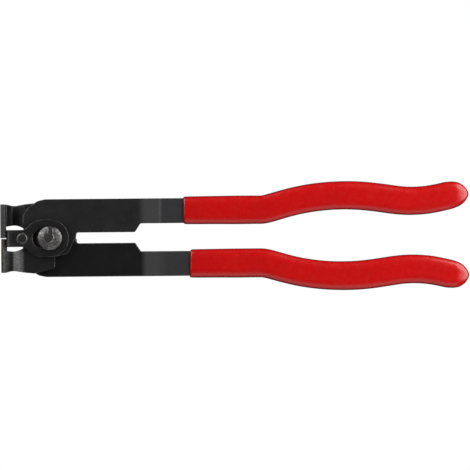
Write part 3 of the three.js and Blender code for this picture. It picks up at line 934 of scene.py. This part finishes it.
def add(tree, kind, inputs=(), **settings):
    """A shader node with its settings; each input is a value or the output that feeds it."""
    node = tree.nodes.new("ShaderNode" + kind)
    for name, value in settings.items():
        setattr(node, name, value)
    for name, value in dict(inputs).items():
        if isinstance(value, bpy.types.NodeSocket):
            tree.links.new(value, node.inputs[name])
        else:
            node.inputs[name].default_value = value
    return node


def new_material(name):
    """An empty material with its surface shader, ready to be fed."""
    material = bpy.data.materials.new(name)
    material.use_nodes = True
    tree = material.node_tree
    tree.nodes.clear()
    surface = add(tree, "BsdfPrincipled")
    add(tree, "OutputMaterial", {"Surface": surface.outputs["BSDF"]})
    return material, tree, surface


def dress(tree, surface, colour, roughness, bump):
    """Feeds a surface shader its colour, its roughness and its bump."""
    for name, output in [("Base Color", colour), ("Roughness", roughness), ("Normal", bump)]:
        tree.links.new(output, surface.inputs[name])


def black_oxide_steel(name, oxide, thin, zones=()):
    """Stamped sheet steel in hot black oxide and oil.

    The eye gets a dark satin skin, cloudy at the scale of a fingertip, with fine pickled grain,
    faint rolling lines along the sheet, and bare steel where the edges have been rubbed. The real
    grain is finer than can show, so it and the lines are drawn about half a millimetre wide.
    Each zone is an axis, where a change of tone starts and ends along it, and the tone past that;
    over a joggle the lighter tone is a painted highlight, for the light its slopes catch.
    """
    material, tree, surface = new_material(name)
    place = add(tree, "TexCoord").outputs["Object"]
    cloud = add(tree, "TexNoise", {"Vector": place, "Scale": per_mm(9), "Detail": 5, "Roughness": 0.6})
    grain = add(tree, "TexNoise", {"Vector": place, "Scale": per_mm(0.45), "Detail": 4, "Roughness": 0.6})
    rolled_place = add(tree, "Mapping", {"Vector": place, "Scale": (0.04, 1, 1)})
    rolled = add(tree, "TexNoise", {"Vector": rolled_place.outputs[0], "Scale": per_mm(0.5), "Detail": 3})
    tone = add(tree, "MapRange", {"Value": cloud.outputs[0], "From Min": 0.35, "From Max": 0.68})
    skin = add(tree, "Mix", {0: tone.outputs[0], 6: linear(oxide), 7: linear(thin)}, data_type="RGBA")
    colour = skin.outputs[2]
    where = add(tree, "SeparateXYZ", {"Vector": place})
    # Zones of tone; over the joggle they paint in a highlight
    for axis, start, end, changed in zones:
        span = {"From Min": start * MM, "From Max": end * MM}
        share = add(tree, "MapRange", {"Value": where.outputs[axis], **span})
        tinted = add(tree, "Mix", {0: share.outputs[0], 6: colour, 7: linear(changed)}, data_type="RGBA")
        colour = tinted.outputs[2]
    edge = add(tree, "Attribute", attribute_name="edge_wear")
    chip = add(tree, "TexNoise", {"Vector": place, "Scale": per_mm(2.2), "Detail": 6, "Roughness": 0.7})
    ragged = add(tree, "Math", {0: edge.outputs["Fac"], 1: chip.outputs[0]}, operation="MULTIPLY")
    span = {"From Min": 0.34, "From Max": 0.64, "To Max": 0.4}
    worn = add(tree, "MapRange", {"Value": ragged.outputs[0], **span})
    final = add(tree, "Mix", {0: worn.outputs[0], 6: colour, 7: linear("#9a9793")}, data_type="RGBA")
    wall = add(tree, "Attribute", attribute_name="cut_wall")
    sheared = add(tree, "Math", {0: wall.outputs["Fac"], 1: 0.5}, operation="MULTIPLY")
    layers = {0: sheared.outputs[0], 6: final.outputs[2], 7: linear("#777675")}
    final = add(tree, "Mix", layers, data_type="RGBA")
    span = {"From Min": 0.3, "From Max": 0.7, "To Min": 0.4, "To Max": 0.52}
    gloss = add(tree, "MapRange", {"Value": grain.outputs[0], **span})
    # Lighter patches: rubbed oxide, and painted highlight where bends and slopes catch the light
    rub = add(tree, "Attribute", attribute_name="rubbed")
    specks = add(tree, "TexNoise", {"Vector": place, "Scale": per_mm(1.0), "Detail": 6, "Roughness": 0.75})
    span = {"From Min": 0.38, "From Max": 0.62, "To Min": 0.25}
    speckle = add(tree, "MapRange", {"Value": specks.outputs[0], **span})
    scuff = add(tree, "Math", {0: rub.outputs["Fac"], 1: speckle.outputs[0]}, operation="MULTIPLY")
    layers = {0: scuff.outputs[0], 6: final.outputs[2], 7: linear("#767574")}
    final = add(tree, "Mix", layers, data_type="RGBA")
    rubbed = add(tree, "Mix", {0: scuff.outputs[0], 2: gloss.outputs[0], 3: 0.58})
    height = add(tree, "Mix", {0: 0.35, 2: grain.outputs[0], 3: rolled.outputs[0]})
    bump = add(tree, "Bump", {"Height": height.outputs[0], "Strength": 0.22, "Distance": 0.05 * MM})
    dress(tree, surface, final.outputs[2], rubbed.outputs[0], bump.outputs[0])
    surface.inputs["Metallic"].default_value = 0.9
    return material


def worn_rivet_steel(name):
    """Turned and peened rivet steel, its oxide rubbed away.

    The eye gets a hammered grey, mottled by the blows, with darker hollows that hold old dirt.
    """
    material, tree, surface = new_material(name)
    place = add(tree, "TexCoord").outputs["Object"]
    blows = add(tree, "TexNoise", {"Vector": place, "Scale": per_mm(1.1), "Detail": 5, "Roughness": 0.65})
    grain = add(tree, "TexNoise", {"Vector": place, "Scale": per_mm(0.3), "Detail": 3})
    tone = add(tree, "MapRange", {"Value": blows.outputs[0], "From Min": 0.36, "From Max": 0.66})
    layers = {0: tone.outputs[0], 6: linear("#4d4b4a"), 7: linear("#8d8b8a")}
    skin = add(tree, "Mix", layers, data_type="RGBA")
    hollow = add(tree, "Attribute", attribute_name="hollow")
    soiled = add(tree, "Math", {0: hollow.outputs["Fac"], 1: 0.95}, operation="MULTIPLY")
    layers = {0: soiled.outputs[0], 6: skin.outputs[2], 7: linear("#444445")}
    final = add(tree, "Mix", layers, data_type="RGBA")
    span = {"From Min": 0.3, "From Max": 0.7, "To Min": 0.56, "To Max": 0.44}
    gloss = add(tree, "MapRange", {"Value": blows.outputs[0], **span})
    height = add(tree, "Mix", {0: 0.3, 2: blows.outputs[0], 3: grain.outputs[0]})
    bump = add(tree, "Bump", {"Height": height.outputs[0], "Strength": 0.5, "Distance": 0.08 * MM})
    dress(tree, surface, final.outputs[2], gloss.outputs[0], bump.outputs[0])
    surface.inputs["Metallic"].default_value = 1.0
    return material


def dipped_pvc(name):
    """Hot dipped plastisol, a soft glossy PVC.

    The eye gets an even red with faint clouds, a light orange peel over slow ripples from the dip,
    and a painted shade, darker red, down the sides where the coat turns away from the light.
    """
    material, tree, surface = new_material(name)
    place = add(tree, "TexCoord").outputs["Object"]
    cloud = add(tree, "TexNoise", {"Vector": place, "Scale": per_mm(14), "Detail": 2})
    peel = add(tree, "TexNoise", {"Vector": place, "Scale": per_mm(2.4), "Detail": 1})
    ripple = add(tree, "TexNoise", {"Vector": place, "Scale": per_mm(16), "Detail": 1})
    tone = add(tree, "MapRange", {"Value": cloud.outputs[0], "From Min": 0.35, "From Max": 0.65})
    layers = {0: tone.outputs[0], 6: linear("#ba0405"), 7: linear("#c00605")}
    skin = add(tree, "Mix", layers, data_type="RGBA")
    # Painted shade, dark red, down the sides of the coat
    side = add(tree, "Attribute", attribute_name="side_wall")
    layers = {0: side.outputs["Fac"], 6: skin.outputs[2], 7: linear("#4c070a")}
    skin = add(tree, "Mix", layers, data_type="RGBA")
    span = {"From Min": 0.3, "From Max": 0.7, "To Min": 0.26, "To Max": 0.33}
    gloss = add(tree, "MapRange", {"Value": peel.outputs[0], **span})
    height = add(tree, "Mix", {0: 0.75, 2: peel.outputs[0], 3: ripple.outputs[0]})
    bump = add(tree, "Bump", {"Height": height.outputs[0], "Strength": 0.07, "Distance": 0.2 * MM})
    dress(tree, surface, skin.outputs[2], gloss.outputs[0], bump.outputs[0])
    surface.inputs["IOR"].default_value = 1.53
    return material


# Pieces

def piece(name, mesh, material, body, node):
    """A finished piece that rides on its body and stands for its CAD node."""
    obj = bpy.data.objects.new(name, mesh)
    bpy.context.scene.collection.objects.link(obj)
    mesh.materials.append(material)
    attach(obj, body)
    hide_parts(node)


# Bands of each lever drawn lighter or darker: axis, start and end in millimetres, and the tone past that.
# Over the joggle the band is a painted highlight, for the light its slopes catch; past the joggle the shank
# is drawn greyer, and the front lever a little darker below its pivot.
FRONT_ZONES = [(0, 46.1, 49.4, "#585859"), (0, 57.9, 58.6, "#525254"), (1, -8.5, -11.5, "#363637")]
REAR_ZONES = [(0, 47.2, 50.0, "#606061"), (0, 56.0, 61.5, "#525254")]
FRONT_OXIDE = black_oxide_steel("black_oxide_steel_front", "#38383a", "#414142", zones=FRONT_ZONES)
REAR_OXIDE = black_oxide_steel("black_oxide_steel_rear", "#29292a", "#303031", zones=REAR_ZONES)
BLADE_OXIDE = black_oxide_steel("black_oxide_spring_steel", "#2f2f30", "#404041")
PIN_OXIDE = black_oxide_steel("black_oxide_pin_steel", "#393939", "#494949")
RIVET_STEEL = worn_rivet_steel("worn_rivet_steel")
RED_PVC = dipped_pvc("dipped_red_pvc")

lever_cuts = [
    *(BEND_X - BEND_RUN * step / 12 for step in range(13)),
    *np.arange(JAW_STEP[0] - JAW_STEP_ROUNDS[0], JAW_STEP[1] + JAW_STEP_ROUNDS[1], 0.3),
    *np.arange(JOGGLE[0] - JOGGLE_ROUNDS[0], JOGGLE[1] + JOGGLE_ROUNDS[1], 0.35),
]
square_end = TIP_END + TIP_CORNER
front_plate = pressed_plate(
    "front_lever_plate", lever_loops(), PLATE, lever_cuts, press_lever, LEVER_RUBS, square_end)
piece("front_lever_plate", front_plate, FRONT_OXIDE, "front_lever", "front_lever")
piece("rear_lever_plate", turn_over(front_plate), REAR_OXIDE, "rear_lever", "rear_lever")

fold_cuts = [FOLD_X - FOLD_RUN * step / 10 for step in range(11)]
fold_cuts += [2 * (FOLD_X - FOLD_RUN - WEB_RUN / 2) - x for x in fold_cuts]
blade = pressed_plate("folded_blade", blade_loops(), LEG, fold_cuts, press_blade, BLADE_RUBS)
piece("folded_blade", blade, BLADE_OXIDE, "blade", "centre_blade")

pin = turned_mesh("chamfered_pin", pin_profile(), 64, -PIN_DISTANCE)
rivet = rivet_mesh("staked_rivet")
washer = turned_mesh("tail_washer", washer_profile())
for turned in (pin, rivet, washer):
    turned.set_sharp_from_angle(angle=CRISP_ANGLE)
piece("chamfered_pin", pin, PIN_OXIDE, "blade", "blade_pin")
piece("staked_rivet", rivet, RIVET_STEEL, "pivot", "pivot_rivet")
piece("tail_washer", washer, RIVET_STEEL, "pivot", "pivot_washer")

upper = grip_mesh(
    "upper_dipped_grip", UPPER_GRIP_LOW[0] - UPPER_LIP_EXTRA,
    extra=-0.1, shift=0.08, lean=-0.015, bow=-0.004, seed=0)
piece("upper_dipped_grip", upper, RED_PVC, "front_lever", "upper_grip")
lower = grip_mesh(
    "lower_dipped_grip", LOWER_GRIP_LOW[0] - LOWER_LIP_EXTRA,
    extra=0.04, shift=0.07, lean=-0.035, bow=-0.002, seed=40)
piece("lower_dipped_grip", turn_over(lower), RED_PVC, "rear_lever", "lower_grip")


# Camera, where the photograph was taken from

PHOTO_PIXELS = 470
PHOTO_MM_PER_PIXEL = 0.5235
PHOTO_PIVOT = (50.7, 238.2)
PHOTO_ROLL = math.radians(0.53)
CAMERA_DISTANCE = 1150.0
SENSOR = 36.0


def add_camera():
    """A long lens straight above, rolled as the photograph is."""
    across = (PHOTO_PIXELS / 2 - PHOTO_PIVOT[0]) * PHOTO_MM_PER_PIXEL
    up = (PHOTO_PIVOT[1] - PHOTO_PIXELS / 2) * PHOTO_MM_PER_PIXEL
    x = across * math.cos(PHOTO_ROLL) + up * math.sin(PHOTO_ROLL)
    y = up * math.cos(PHOTO_ROLL) - across * math.sin(PHOTO_ROLL)
    data = bpy.data.cameras.new("camera")
    data.sensor_width = SENSOR
    data.lens = SENSOR * CAMERA_DISTANCE / (PHOTO_PIXELS * PHOTO_MM_PER_PIXEL)
    camera = bpy.data.objects.new("camera", data)
    camera.location = (x * MM, y * MM, (MIDDLE + CAMERA_DISTANCE) * MM)
    camera.rotation_euler = (0, 0, -PHOTO_ROLL)
    bpy.context.scene.collection.objects.link(camera)
    bpy.context.scene.camera = camera


def softbox(name, place, aim, size, watts):
    """A soft rectangular light at a place, aimed at a point, both in metres."""
    data = bpy.data.lights.new(name, "AREA")
    data.shape = "RECTANGLE"
    data.size, data.size_y = size
    data.energy = watts
    light = bpy.data.objects.new(name, data)
    light.location = place
    light.rotation_euler = (Vector(aim) - Vector(place)).to_track_quat("-Z", "Y").to_euler()
    bpy.context.scene.collection.objects.link(light)


def add_floor():
    """A light table, lit from below until it is plain white and holds no shadow."""
    material, tree, surface = new_material("pale_light_table")
    surface.inputs["Base Color"].default_value = linear("#000000")
    surface.inputs["Specular IOR Level"].default_value = 0.0
    surface.inputs["Emission Color"].default_value = linear("#ffffff")
    surface.inputs["Emission Strength"].default_value = 1.0
    mesh = bpy.data.meshes.new("floor")
    reach, level = 3.0, -0.3 * MM
    corners = [(-reach, -reach), (reach, -reach), (reach, reach), (-reach, reach)]
    mesh.from_pydata([(x, y, level) for x, y in corners], [], [(0, 1, 2, 3)])
    mesh.materials.append(material)
    floor = bpy.data.objects.new("floor", mesh)
    floor.visible_diffuse = False
    floor.visible_glossy = False
    bpy.context.scene.collection.objects.link(floor)


add_camera()
add_floor()

# Lights: places and sizes in metres, power in watts
AIM = (0.09, 0, 0)
softbox("left_softbox", (-0.66, 0.56, 0.48), AIM, (1.1, 0.6), 9)
softbox("right_softbox", (0.65, 0.2, 0.36), AIM, (0.84, 0.46), 6.8)
softbox("near_softbox", (0.09, -0.82, 0.55), AIM, (1.1, 0.85), 2.6)

world = bpy.data.worlds.new("studio")
world.use_nodes = True
world.node_tree.nodes["Background"].inputs["Color"].default_value = linear("#ffffff")
world.node_tree.nodes["Background"].inputs["Strength"].default_value = 0.05
bpy.context.scene.world = world
bpy.context.scene.view_settings.view_transform = "Standard"
